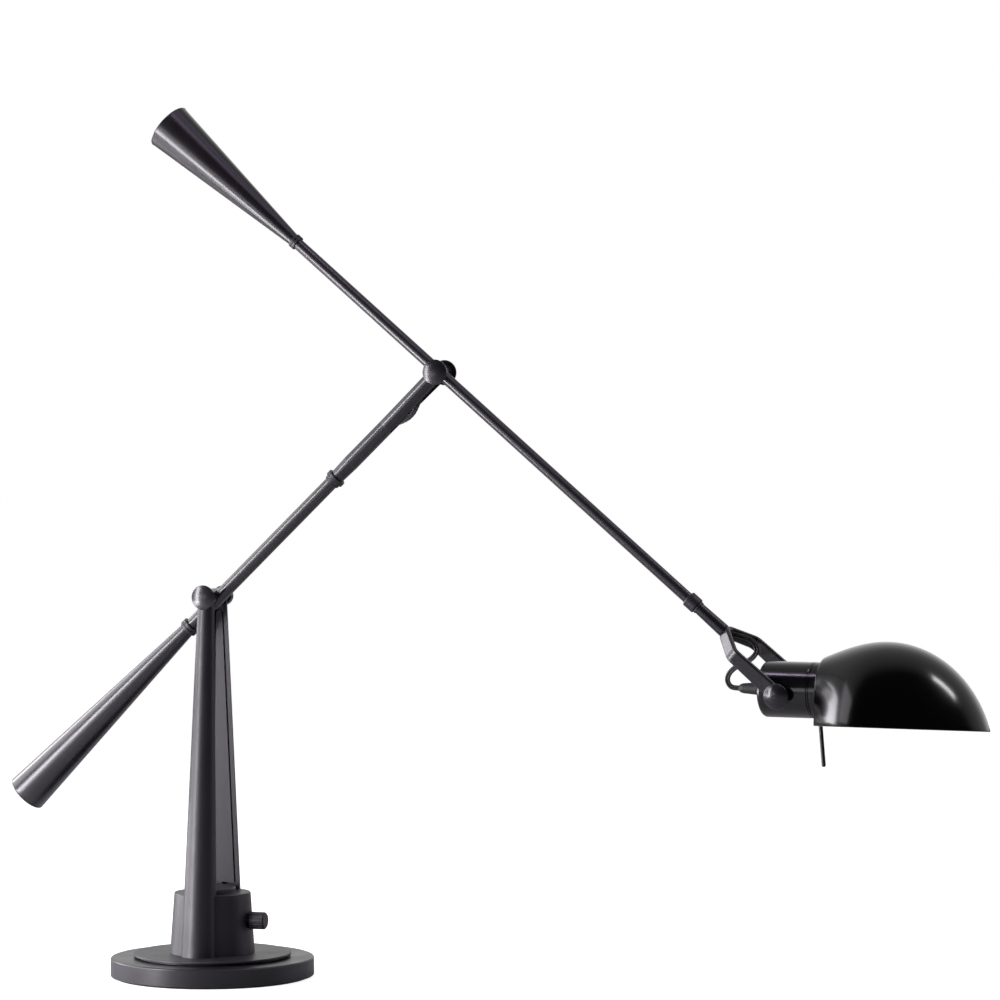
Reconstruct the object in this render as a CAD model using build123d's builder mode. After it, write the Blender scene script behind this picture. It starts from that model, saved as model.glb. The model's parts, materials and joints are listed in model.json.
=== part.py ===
from build123d import *
import math
import os

os.makedirs("parts", exist_ok=True)

# Driving dimensions, in millimetres and degrees. The origin is the centre of the base on the
# table, +Z is up, and the two arms lie in the XZ plane with the lamp head towards +X.
base_radius = 101.6
pad_height = 1.5
pad_radius = 97.0
base_top = 19.8
bearing_thickness = 0.5
step_radius = 78.6
step_top = 24.0
hub_foot_radius = 42.3
hub_top_radius = 38.1
hub_top = 84.4
hub_cavity_radius = 25.0
hub_cavity_top = 72.0
slot_floor_top = 89.0

shoulder_height = 379.7
upright_foot_radius = 18.23
upright_taper = 0.0277
upright_foot_gap = 34.05
upright_lean = 0.0505

lower_rise = 43.87
upper_drop = 40.89
elbow_x = 239.8
elbow_z = 602.8
lower_length = 327.4
lower_tube_radius = 6.7
upper_tube_radius = 5.7
head_reach = 465.3
yoke_roll = 11.0
shade_turn = 12.8

fit = 0.02
running = 0.05
seat = 0.1

# Axes and planes that the pieces share.
rise = math.radians(lower_rise)
drop = math.radians(upper_drop)
roll = math.radians(yoke_roll)
lower_way = Vector(math.cos(rise), 0, math.sin(rise))
upper_way = Vector(math.cos(drop), 0, -math.sin(drop))
upper_normal = Vector(math.sin(drop), 0, math.cos(drop))
shoulder_point = Vector(0, 0, shoulder_height)
elbow_point = Vector(elbow_x, 0, elbow_z)
lower_foot = elbow_point - lower_way * lower_length
head_point = elbow_point + upper_way * head_reach
tilt_way = Vector(0, 1, 0) * math.cos(roll) + upper_normal * math.sin(roll)
yoke_normal = Vector(0, -1, 0) * math.sin(roll) + upper_normal * math.cos(roll)
head_way = Vector(tilt_way.Y, -tilt_way.X, 0).normalized()
head_up = head_way.cross(tilt_way)
shade_turned = math.radians(shade_turn)
shade_up = head_up * math.cos(shade_turned) + tilt_way * math.sin(shade_turned)
shade_across = tilt_way * math.cos(shade_turned) - head_up * math.sin(shade_turned)


def arm_plane(origin, way):
    """Plane through an arm's axis: local X is the radius, local Y the distance along it."""
    return Plane(origin=origin, x_dir=(way.Z, 0, -way.X), z_dir=(0, -1, 0))


def arm_section(origin, way, distance):
    """Plane square to an arm: local X is the frame's Y, local Z points along the arm."""
    return Plane(origin=origin + way * distance, x_dir=(0, 1, 0), z_dir=way)


def side_plane(centre, side, distance):
    """Plane square to a pivot along Y, facing outward on the given side."""
    return Plane(origin=centre + Vector(0, side * distance, 0), x_dir=(1, 0, 0), z_dir=(0, side, 0))


lower_side = arm_plane(lower_foot, lower_way)
lower_axis = Axis(lower_foot, lower_way)
upper_side = arm_plane(elbow_point, upper_way)
upper_axis = Axis(elbow_point, upper_way)
yoke_across = Plane(origin=head_point, x_dir=tilt_way, z_dir=yoke_normal * -1)
yoke_flat = Plane(origin=head_point, x_dir=yoke_normal, z_dir=tilt_way)
head_side = Plane(origin=head_point, x_dir=head_way, z_dir=tilt_way * -1)
head_axis = Axis(head_point, head_way)
shade_frame = Plane(origin=head_point, x_dir=head_way, z_dir=shade_up)


def head_section(distance):
    """Plane square to the head's axis: local X is the tilt axis and local Y is up."""
    return Plane(origin=head_point + head_way * distance, x_dir=tilt_way, z_dir=head_way)


def shade_plane(distance):
    """The plane across the shade's axis at a distance from the tilt axis, turned with it."""
    return Plane(origin=head_point + head_way * distance, x_dir=shade_across, z_dir=head_way)


def tilt_plane(side, distance):
    """Plane square to the head's tilt axis, facing outward on the given side."""
    return Plane(
        origin=head_point + tilt_way * (side * distance), x_dir=head_way, z_dir=tilt_way * side
    )


def save(piece, name):
    """Label a finished piece and write it."""
    piece.part.label = name
    export_step(piece.part, f"parts/{name}.step")


# Base -------------------------------------------------------------------------------------
nipple_radius = 5.0
nut_well_radius = 18.0
nut_well_top = 12.0
inlet_radius = 5.5
inlet_height = 7.5
channel_width = 8.0

with BuildPart() as base_weight:
    with BuildSketch(Plane.XY.offset(pad_height)):
        Circle(base_radius)
    extrude(amount=base_top - pad_height)
    fillet(base_weight.edges().group_by(Axis.Z)[-1], radius=1.6)
    fillet(base_weight.edges().group_by(Axis.Z)[0], radius=0.8)
    with BuildSketch(Plane.XY.offset(pad_height)):
        Circle(nut_well_radius)
        with Locations((0, base_radius / 2)):
            Rectangle(channel_width, base_radius - 8)
    extrude(amount=inlet_height - pad_height + 3, mode=Mode.SUBTRACT)
    with BuildSketch(Plane.XY.offset(pad_height)):
        Circle(nut_well_radius)
    extrude(amount=nut_well_top - pad_height, mode=Mode.SUBTRACT)
    with BuildSketch(Plane.XY):
        Circle(nipple_radius + running)
    extrude(amount=base_top, mode=Mode.SUBTRACT)
    with BuildSketch(Plane(origin=(0, base_radius - 20, inlet_height), z_dir=(0, 1, 0))):
        Circle(inlet_radius)
    extrude(amount=25, mode=Mode.SUBTRACT)
save(base_weight, "base_weight")

with BuildPart() as base_pad:
    with BuildSketch(Plane.XY):
        Circle(pad_radius)
    extrude(amount=pad_height)
save(base_pad, "base_pad")

grommet_bore = 3.2
with BuildPart() as cord_grommet:
    with BuildSketch(Plane(origin=(0, 92, inlet_height), z_dir=(0, 1, 0))):
        Circle(inlet_radius - fit)
    extrude(amount=base_radius + 0.1 - 92)
    with BuildSketch(Plane(origin=(0, base_radius + 0.1, inlet_height), z_dir=(0, 1, 0))):
        Circle(inlet_radius + 1.4)
    extrude(amount=1.6)
    fillet(cord_grommet.edges().group_by(Axis.Y)[-1], radius=0.6)
    with BuildSketch(Plane(origin=(0, 90, inlet_height), z_dir=(0, 1, 0))):
        Circle(grommet_bore)
    extrude(amount=16, mode=Mode.SUBTRACT)
save(cord_grommet, "cord_grommet")

# The column turns on a hollow threaded nipple, held by a nut in the well under the base.
nipple_bottom = 3.0
nipple_top = 36.0
nut_radius = 9.0
nut_height = 5.0
step_bottom = base_top + bearing_thickness

with BuildPart() as swivel_nipple:
    with BuildSketch(Plane.XY.offset(nipple_bottom)):
        Circle(nipple_radius)
        Circle(nipple_radius - 1.6, mode=Mode.SUBTRACT)
    extrude(amount=nipple_top - nipple_bottom)
save(swivel_nipple, "swivel_nipple")

with BuildPart() as swivel_nuts:
    for level in (nut_well_top - 2.2 - nut_height, step_top + 0.05):
        with BuildSketch(Plane.XY.offset(level)):
            RegularPolygon(nut_radius, 6)
            Circle(nipple_radius + fit, mode=Mode.SUBTRACT)
        extrude(amount=nut_height)
save(swivel_nuts, "swivel_nuts")

with BuildPart() as spring_washer:
    with BuildSketch(Plane.XY.offset(nut_well_top - 2.1)):
        Circle(nut_radius + 2)
        Circle(nipple_radius + fit, mode=Mode.SUBTRACT)
    extrude(amount=2.0)
save(spring_washer, "spring_washer")

with BuildPart() as bearing_washer:
    with BuildSketch(Plane.XY.offset(base_top)):
        Circle(60)
        Circle(nipple_radius + 0.3, mode=Mode.SUBTRACT)
    extrude(amount=bearing_thickness)
save(bearing_washer, "bearing_washer")

# Column -----------------------------------------------------------------------------------
foot_screw_radius = 2.0
foot_screw_top = 37.0
foot_screw_places = [(34, 0), (-34, 0), (0, 43), (0, -43)]
step_underside = Plane(origin=(0, 0, step_bottom), x_dir=(1, 0, 0), z_dir=(0, 0, -1))
screw_head_radius = 3.6
screw_head_height = 1.6

with BuildPart() as base_step:
    with BuildSketch(Plane.XZ):
        with BuildLine():
            Polyline(
                (nipple_radius + fit, step_bottom),
                (step_radius - 3.4, step_bottom),
                (step_radius - 3.4, step_bottom + 1.1),
                (step_radius, step_bottom + 1.1),
                (step_radius, step_top),
                (nipple_radius + fit, step_top),
                close=True,
            )
        make_face()
    revolve(axis=Axis.Z)
    fillet(base_step.edges().filter_by(GeomType.CIRCLE).group_by(SortBy.RADIUS)[-1], radius=0.7)
    with Locations(step_underside):
        with Locations(*foot_screw_places):
            CounterSinkHole(foot_screw_radius + fit, screw_head_radius + 0.1, depth=10)
save(base_step, "base_step")

with BuildPart() as foot_screws:
    with BuildSketch(Plane.XZ.offset(-foot_screw_places[0][1])):
        with BuildLine():
            Polyline(
                (34, step_bottom + 0.2),
                (34 + screw_head_radius - 0.3, step_bottom + 0.2),
                (34 + foot_screw_radius, step_bottom + 0.2 + screw_head_height),
                (34 + foot_screw_radius, foot_screw_top),
                (34, foot_screw_top),
                close=True,
            )
        make_face()
    revolve(axis=Axis((34, 0, 0), (0, 0, 1)))
    first_screw = foot_screws.part
    for place in foot_screw_places[1:]:
        add(first_screw.moved(Location((place[0] - 34, place[1], 0))))
save(foot_screws, "foot_screws")


def upright_radius(height):
    """Radius of an upright's half-round section at a height."""
    return upright_foot_radius - upright_taper * (height - step_top)


def upright_gap(height):
    """Distance from the arm plane to an upright's flat inner face at a height."""
    return upright_foot_gap - upright_lean * (height - step_top)


def half_round(height, side, grow=0.0):
    """An upright's section at a height: flat face inward, round face outward."""
    radius = upright_radius(height) + grow
    face = side * (upright_gap(height) - grow)
    with BuildSketch(Plane.XY.offset(height)) as section:
        with BuildLine():
            ThreePointArc((-radius, face), (0, face + side * (radius + grow)), (radius, face))
            Line((radius, face), (-radius, face))
        make_face()
    return section.sketch


ear_inner = 15.6
ear_outer = 24.5
shoulder_cap_radius = 12.1
shoulder_pin_radius = 3.0
upright_top = shoulder_height + 9
cover_bottom = 91.0
cover_top = 365.0
cover_half_bottom = 10.9
cover_half_top = 3.2
cover_gap = 1.8
cover_sink = 0.3
cover_thickness = 1.8
cover_screw_height = 352.0
inner_face = Plane(
    origin=(0, upright_gap(0), 0), x_dir=(1, 0, 0), z_dir=(0, -1, -upright_lean)
)
face_stretch = math.sqrt(1 + upright_lean**2)


def cover_outline(grow, depth):
    """The cable cover's tall tapered outline, on the rear upright's face or sunk into it."""
    low = cover_bottom * face_stretch - grow
    high = (cover_top - cover_half_top) * face_stretch
    wide = cover_half_bottom + grow
    narrow = cover_half_top + grow
    with BuildSketch(inner_face.offset(-depth)) as outline:
        with BuildLine():
            Polyline((-narrow, high), (-wide, low), (wide, low), (narrow, high))
            ThreePointArc((narrow, high), (0, high + narrow), (-narrow, high))
        make_face()
    return outline.sketch


for side, name in ((-1, "upright_front"), (1, "upright_rear")):
    with BuildPart() as upright:
        loft(sections=[half_round(step_top, side), half_round(upright_top, side)], ruled=True)
        with BuildSketch(Plane.XZ):
            with Locations((0, shoulder_height)):
                Rectangle(60, 30, align=(Align.CENTER, Align.MIN))
                Circle(8.3, mode=Mode.SUBTRACT)
        extrude(amount=60, both=True, mode=Mode.SUBTRACT)
        with BuildSketch(side_plane(shoulder_point, side, ear_inner)):
            Circle(8.2)
        extrude(amount=ear_outer - ear_inner)
        with BuildSketch(side_plane(shoulder_point, side, ear_outer)):
            Circle(shoulder_cap_radius + 0.5)
        extrude(amount=10, mode=Mode.SUBTRACT)
        with BuildSketch(side_plane(shoulder_point, side, ear_inner - 5)):
            Circle(shoulder_pin_radius + fit)
        extrude(amount=30, mode=Mode.SUBTRACT)
        with BuildSketch(Plane.XY.offset(step_top)):
            with Locations((0, side * 43)):
                Circle(foot_screw_radius + fit)
        extrude(amount=foot_screw_top - step_top + 0.5, mode=Mode.SUBTRACT)
        if side > 0:
            extrude(cover_outline(cover_gap, 0), amount=-2.6, mode=Mode.SUBTRACT)
            with BuildSketch(inner_face):
                with Locations((0, 200)):
                    SlotCenterToCenter(290, 5.6, rotation=90)
            extrude(amount=-7.0, mode=Mode.SUBTRACT)
            with BuildSketch(inner_face):
                with Locations((0, cover_screw_height * face_stretch)):
                    Circle(1.0 + fit)
            extrude(amount=-9.0, mode=Mode.SUBTRACT)
    save(upright, name)

with BuildPart() as cable_cover:
    extrude(cover_outline(0, cover_sink), amount=-cover_thickness)
    with Locations(inner_face.offset(-cover_sink)):
        with Locations((0, cover_screw_height * face_stretch)):
            CounterSinkHole(1.0 + fit, 1.95, depth=8)
save(cable_cover, "cable_cover")

with BuildPart() as cover_screw:
    with BuildSketch(inner_face.offset(-cover_sink - 0.05)):
        with Locations((0, cover_screw_height * face_stretch)):
            Circle(1.8)
    extrude(amount=-0.5, taper=38)
    with BuildSketch(inner_face.offset(-cover_sink - 0.4)):
        with Locations((0, cover_screw_height * face_stretch)):
            Circle(1.0)
    extrude(amount=-7.5)
    with BuildSketch(inner_face.offset(-cover_sink - 0.05)):
        with Locations((0, cover_screw_height * face_stretch)):
            Rectangle(4.0, 0.5)
    extrude(amount=-0.35, mode=Mode.SUBTRACT)
save(cover_screw, "cover_screw")

# Hub, with the oval slot floor on top and the dimmer in its side.
dimmer_height = 57.2
dimmer_seat = 38.6
dimmer_bush_radius = 4.7
dimmer_shaft_radius = 3.0
knob_radius = 8.6
knob_start = 42.0
knob_end = 57.0
knob_flutes = 20


def dimmer_plane(distance):
    """Plane square to the dimmer's shaft, at a distance from the column's axis."""
    return Plane(origin=(distance, 0, dimmer_height), x_dir=(0, 1, 0), z_dir=(1, 0, 0))


with BuildPart() as hub:
    with BuildSketch(Plane.XZ):
        with BuildLine():
            Polyline(
                (0, hub_cavity_top),
                (hub_cavity_radius, hub_cavity_top),
                (hub_cavity_radius, step_top),
                (hub_foot_radius, step_top),
                (hub_top_radius, hub_top),
                (0, hub_top),
                close=True,
            )
        make_face()
    revolve(axis=Axis.Z)
    fillet(hub.edges().group_by(Axis.Z)[-1], radius=1.2)
    with BuildSketch(Plane.XY.offset(hub_top - 1)):
        Ellipse(21.5, 31.5)
    extrude(amount=slot_floor_top - hub_top + 1)
    fillet(hub.edges().group_by(Axis.Z)[-1], radius=1.2)
    for side in (-1, 1):
        pocket = [half_round(step_top, side, seat / 2), half_round(slot_floor_top + 5, side, seat / 2)]
        loft(sections=pocket, ruled=True, mode=Mode.SUBTRACT)
    with BuildSketch(dimmer_plane(dimmer_seat)):
        Circle(9.6)
    extrude(amount=10, mode=Mode.SUBTRACT)
    with BuildSketch(dimmer_plane(20)):
        Circle(dimmer_bush_radius + fit)
    extrude(amount=25, mode=Mode.SUBTRACT)
    with BuildSketch(Plane.XY.offset(step_top)):
        with Locations(*foot_screw_places[:2]):
            Circle(foot_screw_radius + fit)
    extrude(amount=foot_screw_top - step_top + 0.5, mode=Mode.SUBTRACT)
    with BuildSketch(Plane(origin=(0, 20, 62), z_dir=(0, 1, 0))):
        Circle(2.8)
    extrude(amount=20, mode=Mode.SUBTRACT)
save(hub, "hub")

with BuildPart() as dimmer_body:
    with BuildSketch(dimmer_plane(6)):
        Circle(8.5)
    extrude(amount=16.5)
    with BuildSketch(dimmer_plane(6)):
        Circle(dimmer_bush_radius)
    extrude(amount=35)
    with BuildSketch(dimmer_plane(14)):
        Circle(dimmer_shaft_radius + running)
    extrude(amount=30, mode=Mode.SUBTRACT)
save(dimmer_body, "dimmer_body")

with BuildPart() as dimmer_nut:
    with BuildSketch(dimmer_plane(dimmer_seat + 0.05)):
        RegularPolygon(8.6, 6)
        Circle(dimmer_bush_radius + fit, mode=Mode.SUBTRACT)
    extrude(amount=2.4)
save(dimmer_nut, "dimmer_nut")

with BuildPart() as dimmer_shaft:
    with BuildSketch(dimmer_plane(16)):
        Circle(dimmer_shaft_radius)
    extrude(amount=38)
save(dimmer_shaft, "dimmer_shaft")

with BuildPart() as dimmer_knob:
    with BuildSketch(dimmer_plane(knob_start)):
        Circle(knob_radius)
        with PolarLocations(knob_radius + 0.45, knob_flutes):
            Circle(0.9, mode=Mode.SUBTRACT)
    extrude(amount=knob_end - knob_start - 1.2)
    with BuildSketch(dimmer_plane(knob_end - 1.2)):
        Circle(knob_radius - 0.5)
    extrude(amount=1.2)
    chamfer(dimmer_knob.edges().group_by(Axis.X)[-1], length=0.8)
    with BuildSketch(dimmer_plane(knob_start - 1)):
        Circle(dimmer_shaft_radius + fit)
    extrude(amount=13.5, mode=Mode.SUBTRACT)
save(dimmer_knob, "dimmer_knob")

# Shoulder ---------------------------------------------------------------------------------
barrel_radius = 8.3
barrel_half = 14.4
shoulder_cap_start = 24.8
shoulder_cap_end = 28.5
rear_cap_end = 34.5
rear_cap_radius = 10.0
shoulder_pin_start = 7.4
shoulder_pin_end = 27.0


def crown_drop(distance, radius, crown):
    """How far a spherical crown has fallen at a distance from its centre."""
    sphere = (radius**2 + crown**2) / (2 * crown)
    return sphere - math.sqrt(sphere**2 - distance**2)


def domed_cap(plane, radius, height, crown, bore, bore_depth, edge):
    """A turned cap: flat inside, domed outside, with a blind bore for its pin."""
    profile = Plane(origin=plane.origin, x_dir=plane.x_dir, z_dir=plane.y_dir * -1)
    middle = radius / 2
    with BuildPart() as cap:
        with BuildSketch(profile):
            with BuildLine():
                Polyline((0, height), (0, 0), (radius - 0.4, 0), (radius, 0.4), (radius, height - crown))
                ThreePointArc(
                    (radius, height - crown),
                    (middle, height - crown_drop(middle, radius, crown)),
                    (0, height),
                )
            make_face()
        revolve(axis=Axis(plane.origin, plane.z_dir))
        circles = cap.edges().filter_by(GeomType.CIRCLE)
        rims = circles.filter_by(lambda line: abs(line.radius - radius) < 0.01)
        fillet(rims.sort_by(Axis(plane.origin, plane.z_dir))[-1], radius=edge)
        with BuildSketch(plane):
            Circle(bore)
        extrude(amount=bore_depth, mode=Mode.SUBTRACT)
    return cap


with BuildPart() as shoulder_pins:
    for side in (-1, 1):
        with BuildSketch(side_plane(shoulder_point, side, shoulder_pin_start)):
            Circle(shoulder_pin_radius)
        extrude(amount=shoulder_pin_end - shoulder_pin_start)
save(shoulder_pins, "shoulder_pins")

cap_bore = shoulder_pin_end - shoulder_cap_start + 0.1
for side, name, cap_radius, cap_end, crown in (
    (-1, "shoulder_cap_front", shoulder_cap_radius, shoulder_cap_end, 2.4),
    (1, "shoulder_cap_rear", rear_cap_radius, rear_cap_end, 3.0),
):
    cap_height = cap_end - shoulder_cap_start
    cap_seat = side_plane(shoulder_point, side, shoulder_cap_start)
    cap = domed_cap(
        cap_seat, cap_radius, cap_height, crown, shoulder_pin_radius + fit, cap_bore, 0.6
    )
    save(cap, name)

with BuildPart() as shoulder_washers:
    for side in (-1, 1):
        with BuildSketch(side_plane(shoulder_point, side, barrel_half + 0.05)):
            Circle(7.5)
            Circle(shoulder_pin_radius + running, mode=Mode.SUBTRACT)
        extrude(amount=ear_inner - barrel_half - 0.15)
save(shoulder_washers, "shoulder_washers")

with BuildPart() as shoulder_barrel:
    with BuildSketch(side_plane(shoulder_point, 1, -barrel_half)):
        Circle(barrel_radius)
    extrude(amount=2 * barrel_half)
    for side in (-1, 1):
        with BuildSketch(side_plane(shoulder_point, side, shoulder_pin_start - 0.1)):
            Circle(shoulder_pin_radius + running)
        extrude(amount=10, mode=Mode.SUBTRACT)
    with BuildSketch(arm_section(lower_foot, lower_way, -30)):
        Circle(lower_tube_radius + fit)
    extrude(amount=60, mode=Mode.SUBTRACT)
save(shoulder_barrel, "shoulder_barrel")

# Arms -------------------------------------------------------------------------------------
tube_wall = 1.3
lower_ring_centre = -39.2
lower_ring_length = 6.9
lower_ring_radius = 9.25
lower_tail = lower_ring_centre - lower_ring_length / 2
lower_weight_end = -287.2
collar_start = 170.75
collar_step = 174.25
collar_end = 179.25
upper_ring_centre = -199.3
upper_ring_length = 6.5
upper_ring_radius = 7.4
upper_tail = upper_ring_centre - upper_ring_length / 2
upper_weight_end = -381.7
swivel_start = 334.25
swivel_end = 346.15
upper_tube_end = 346.1
elbow_pin_radius = 2.5


def tube(section, radius, length, cross_bore=None):
    """A round tube from a section plane, with an optional bore across it along Y."""
    with BuildPart() as pipe:
        with BuildSketch(section):
            Circle(radius)
            Circle(radius - tube_wall, mode=Mode.SUBTRACT)
        extrude(amount=length)
        if cross_bore is not None:
            with BuildSketch(side_plane(cross_bore, 1, -20)):
                Circle(elbow_pin_radius + running)
            extrude(amount=40, mode=Mode.SUBTRACT)
    return pipe


save(
    tube(arm_section(lower_foot, lower_way, lower_tail), lower_tube_radius, collar_end - lower_tail),
    "lower_tube",
)
save(
    tube(
        arm_section(elbow_point, upper_way, upper_tail),
        upper_tube_radius,
        upper_tube_end - upper_tail,
        elbow_point,
    ),
    "upper_tube",
)


def grooved_ring(plane, axis, centre, length, radius, bore):
    """A turned ring on an arm, with a shallow groove round its middle."""
    half = length / 2
    with BuildPart() as ring:
        with BuildSketch(plane):
            with BuildLine():
                Polyline(
                    (bore, centre - half),
                    (radius - 0.5, centre - half),
                    (radius, centre - half + 0.5),
                    (radius, centre - 0.6),
                    (radius - 0.6, centre - 0.6),
                    (radius - 0.6, centre + 0.6),
                    (radius, centre + 0.6),
                    (radius, centre + half - 0.5),
                    (radius - 0.5, centre + half),
                    (bore, centre + half),
                    close=True,
                )
            make_face()
        revolve(axis=axis)
    return ring


save(
    grooved_ring(
        lower_side, lower_axis, lower_ring_centre, lower_ring_length, lower_ring_radius,
        lower_tube_radius + fit,
    ),
    "lower_ring",
)
save(
    grooved_ring(
        upper_side, upper_axis, upper_ring_centre, upper_ring_length, upper_ring_radius,
        upper_tube_radius + fit,
    ),
    "upper_ring",
)

weight_wall = 1.5
end_cap_thickness = 2.5


def counterweight(name, plane, axis, mouth, mouth_radius, end, end_radius, spigot, fill, crown):
    """A tapered counterweight: spun shell with a spigot in the tube, ballast slug and end cap."""
    slope = (end_radius - mouth_radius) / (mouth - end)

    def shell_radius(station):
        return mouth_radius + slope * (mouth - station)

    neck = mouth - 14
    lip = end + end_cap_thickness
    with BuildPart() as shell:
        with BuildSketch(plane):
            with BuildLine():
                Polyline(
                    (0, mouth + 16),
                    (spigot, mouth + 16),
                    (spigot, mouth - 0.05),
                    (mouth_radius, mouth - 0.05),
                    (shell_radius(lip), lip),
                    (shell_radius(lip) - weight_wall, lip),
                    (shell_radius(neck) - weight_wall, neck),
                    (0, neck),
                    close=True,
                )
            make_face()
        revolve(axis=axis)
    save(shell, f"{name}_shell")

    low = end + end_cap_thickness + 3.2
    high = low + fill
    with BuildPart() as ballast:
        with BuildSketch(plane):
            with BuildLine():
                Polyline(
                    (0, low),
                    (shell_radius(low) - weight_wall - seat, low),
                    (shell_radius(high) - weight_wall - seat, high),
                    (0, high),
                    close=True,
                )
            make_face()
        revolve(axis=axis)
    save(ballast, f"{name}_ballast")

    inside = shell_radius(lip) - weight_wall - 0.5
    crown_radius = end_radius - 1.4
    with BuildPart() as end_cap:
        with BuildSketch(plane):
            with BuildLine():
                Polyline(
                    (0, end),
                    (0, lip + 3),
                    (inside, lip + 3),
                    (inside, lip - 0.05),
                    (shell_radius(lip), lip - 0.05),
                    (end_radius, end + 1.4 + crown),
                )
                ThreePointArc(
                    (end_radius, end + 1.4 + crown),
                    (end_radius - 0.5, end + 0.45 + crown),
                    (crown_radius, end + crown),
                )
                if crown > 0:
                    middle_drop = crown_drop(crown_radius / 2, crown_radius, crown)
                    ThreePointArc(
                        (crown_radius, end + crown), (crown_radius / 2, end + middle_drop), (0, end)
                    )
                else:
                    Line((crown_radius, end), (0, end))
            make_face()
        revolve(axis=axis)
    save(end_cap, f"{name}_end_cap")


counterweight(
    "lower_weight", lower_side, lower_axis, lower_tail, 7.3, lower_weight_end, 20.6,
    lower_tube_radius - tube_wall - fit, 200.0, 0.0,
)
counterweight(
    "upper_weight", upper_side, upper_axis, upper_tail, 6.2, upper_weight_end, 24.4,
    upper_tube_radius - tube_wall - fit, 62.0, 1.0,
)

with BuildPart() as mid_collar:
    with BuildSketch(lower_side):
        with BuildLine():
            Polyline(
                (lower_tube_radius + fit, collar_start),
                (7.6, collar_start),
                (8.0, collar_start + 0.4),
                (8.0, collar_step),
                (9.35, collar_step),
                (9.75, collar_step + 0.4),
                (9.75, collar_end - 0.4),
                (9.35, collar_end),
                (lower_tube_radius + fit, collar_end),
                close=True,
            )
        make_face()
    revolve(axis=lower_axis)
save(mid_collar, "mid_collar")

# Elbow ------------------------------------------------------------------------------------
fork_split = lower_length - 77.0
fork_radius = 8.0
fork_neck_radius = 7.2
fork_flare = 20.0
tine_inner_split = 3.0
tine_inner_end = 7.2
tine_outer_end = 14.0
tine_half_width = 7.42
elbow_ear_radius = 8.4
elbow_cap_radius = 12.4
elbow_cap_start = 14.2
elbow_cap_end = 18.4
elbow_pin_half = 16.7
lead_bore = 2.9


def tine_section(side, station, inner, outer, half_width):
    """A half-round section of one elbow tine."""
    with BuildSketch(arm_section(lower_foot, lower_way, station)) as section:
        with BuildLine():
            ThreePointArc(
                (side * inner, -half_width), (side * outer, 0), (side * inner, half_width)
            )
            Line((side * inner, half_width), (side * inner, -half_width))
        make_face()
    return section.sketch


with BuildPart() as elbow_fork:
    with BuildSketch(lower_side):
        with BuildLine():
            Polyline(
                (lead_bore, collar_end - 15),
                (lower_tube_radius - tube_wall - fit, collar_end - 15),
                (lower_tube_radius - tube_wall - fit, collar_end + 0.05),
                (fork_neck_radius, collar_end + 0.05),
                (fork_radius, collar_end + fork_flare),
                (fork_radius, fork_split),
                (lead_bore + 2.2, fork_split),
                (lead_bore, fork_split - 8),
                close=True,
            )
        make_face()
    revolve(axis=lower_axis)
    for side in (-1, 1):
        root = tine_section(side, fork_split, tine_inner_split, fork_radius, tine_half_width)
        tip = tine_section(side, lower_length, tine_inner_end, tine_outer_end, tine_half_width)
        loft(sections=[root, tip], ruled=True)
        with BuildSketch(side_plane(elbow_point, side, tine_inner_end)):
            Circle(elbow_ear_radius)
        extrude(amount=tine_outer_end - tine_inner_end)
    with BuildSketch(side_plane(elbow_point, 1, -tine_inner_end)):
        Circle(elbow_ear_radius + 0.3)
    extrude(amount=2 * tine_inner_end, mode=Mode.SUBTRACT)
    with BuildSketch(side_plane(elbow_point, 1, -20)):
        Circle(elbow_pin_radius + fit)
    extrude(amount=40, mode=Mode.SUBTRACT)
save(elbow_fork, "elbow_fork")

with BuildPart() as elbow_pin:
    with BuildSketch(side_plane(elbow_point, 1, -elbow_pin_half)):
        Circle(elbow_pin_radius)
    extrude(amount=2 * elbow_pin_half)
save(elbow_pin, "elbow_pin")

for side, name in ((-1, "elbow_cap_front"), (1, "elbow_cap_rear")):
    cap_height = elbow_cap_end - elbow_cap_start
    cap_seat = side_plane(elbow_point, side, elbow_cap_start)
    cap_bore = elbow_pin_half - elbow_cap_start + 0.1
    cap = domed_cap(
        cap_seat, elbow_cap_radius, cap_height, 2.6, elbow_pin_radius + fit, cap_bore, 0.6
    )
    save(cap, name)

boss_half = 6.5
boss_radius = 8.0
with BuildPart() as elbow_washers:
    for side in (-1, 1):
        with BuildSketch(side_plane(elbow_point, side, boss_half + 0.05)):
            Circle(7.0)
            Circle(elbow_pin_radius + running, mode=Mode.SUBTRACT)
        extrude(amount=tine_inner_end - boss_half - 0.1)
save(elbow_washers, "elbow_washers")

with BuildPart() as elbow_boss:
    with BuildSketch(side_plane(elbow_point, 1, -boss_half)):
        Circle(boss_radius)
    extrude(amount=2 * boss_half)
    with BuildSketch(arm_section(elbow_point, upper_way, -30)):
        Circle(upper_tube_radius + fit)
    extrude(amount=60, mode=Mode.SUBTRACT)
    with BuildSketch(side_plane(elbow_point, 1, -20)):
        Circle(elbow_pin_radius + running)
    extrude(amount=40, mode=Mode.SUBTRACT)
save(elbow_boss, "elbow_boss")

# Swivel and yoke --------------------------------------------------------------------------
swivel_radius = 7.9
stem_start = 348.75
stem_start_radius = 5.8
stem_end_radius = 6.45
stem_bore = 2.7
split_back = 84.6
knee_back = 58.6
tine_offset = 30.2
tine_thickness = 5.2
tine_end_half = 8.1
tine_knee_half = 6.9
head_pin_radius = 3.0
lock_ring_radius = 6.4

with BuildPart() as swivel_collar:
    with BuildSketch(upper_side):
        with BuildLine():
            Polyline(
                (upper_tube_radius + fit, swivel_start),
                (swivel_radius - 0.7, swivel_start),
                (swivel_radius, swivel_start + 0.7),
                (swivel_radius, swivel_end - 0.7),
                (swivel_radius - 0.7, swivel_end),
                (upper_tube_radius + fit, swivel_end),
                close=True,
            )
        make_face()
    revolve(axis=upper_axis)
save(swivel_collar, "swivel_collar")

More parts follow.
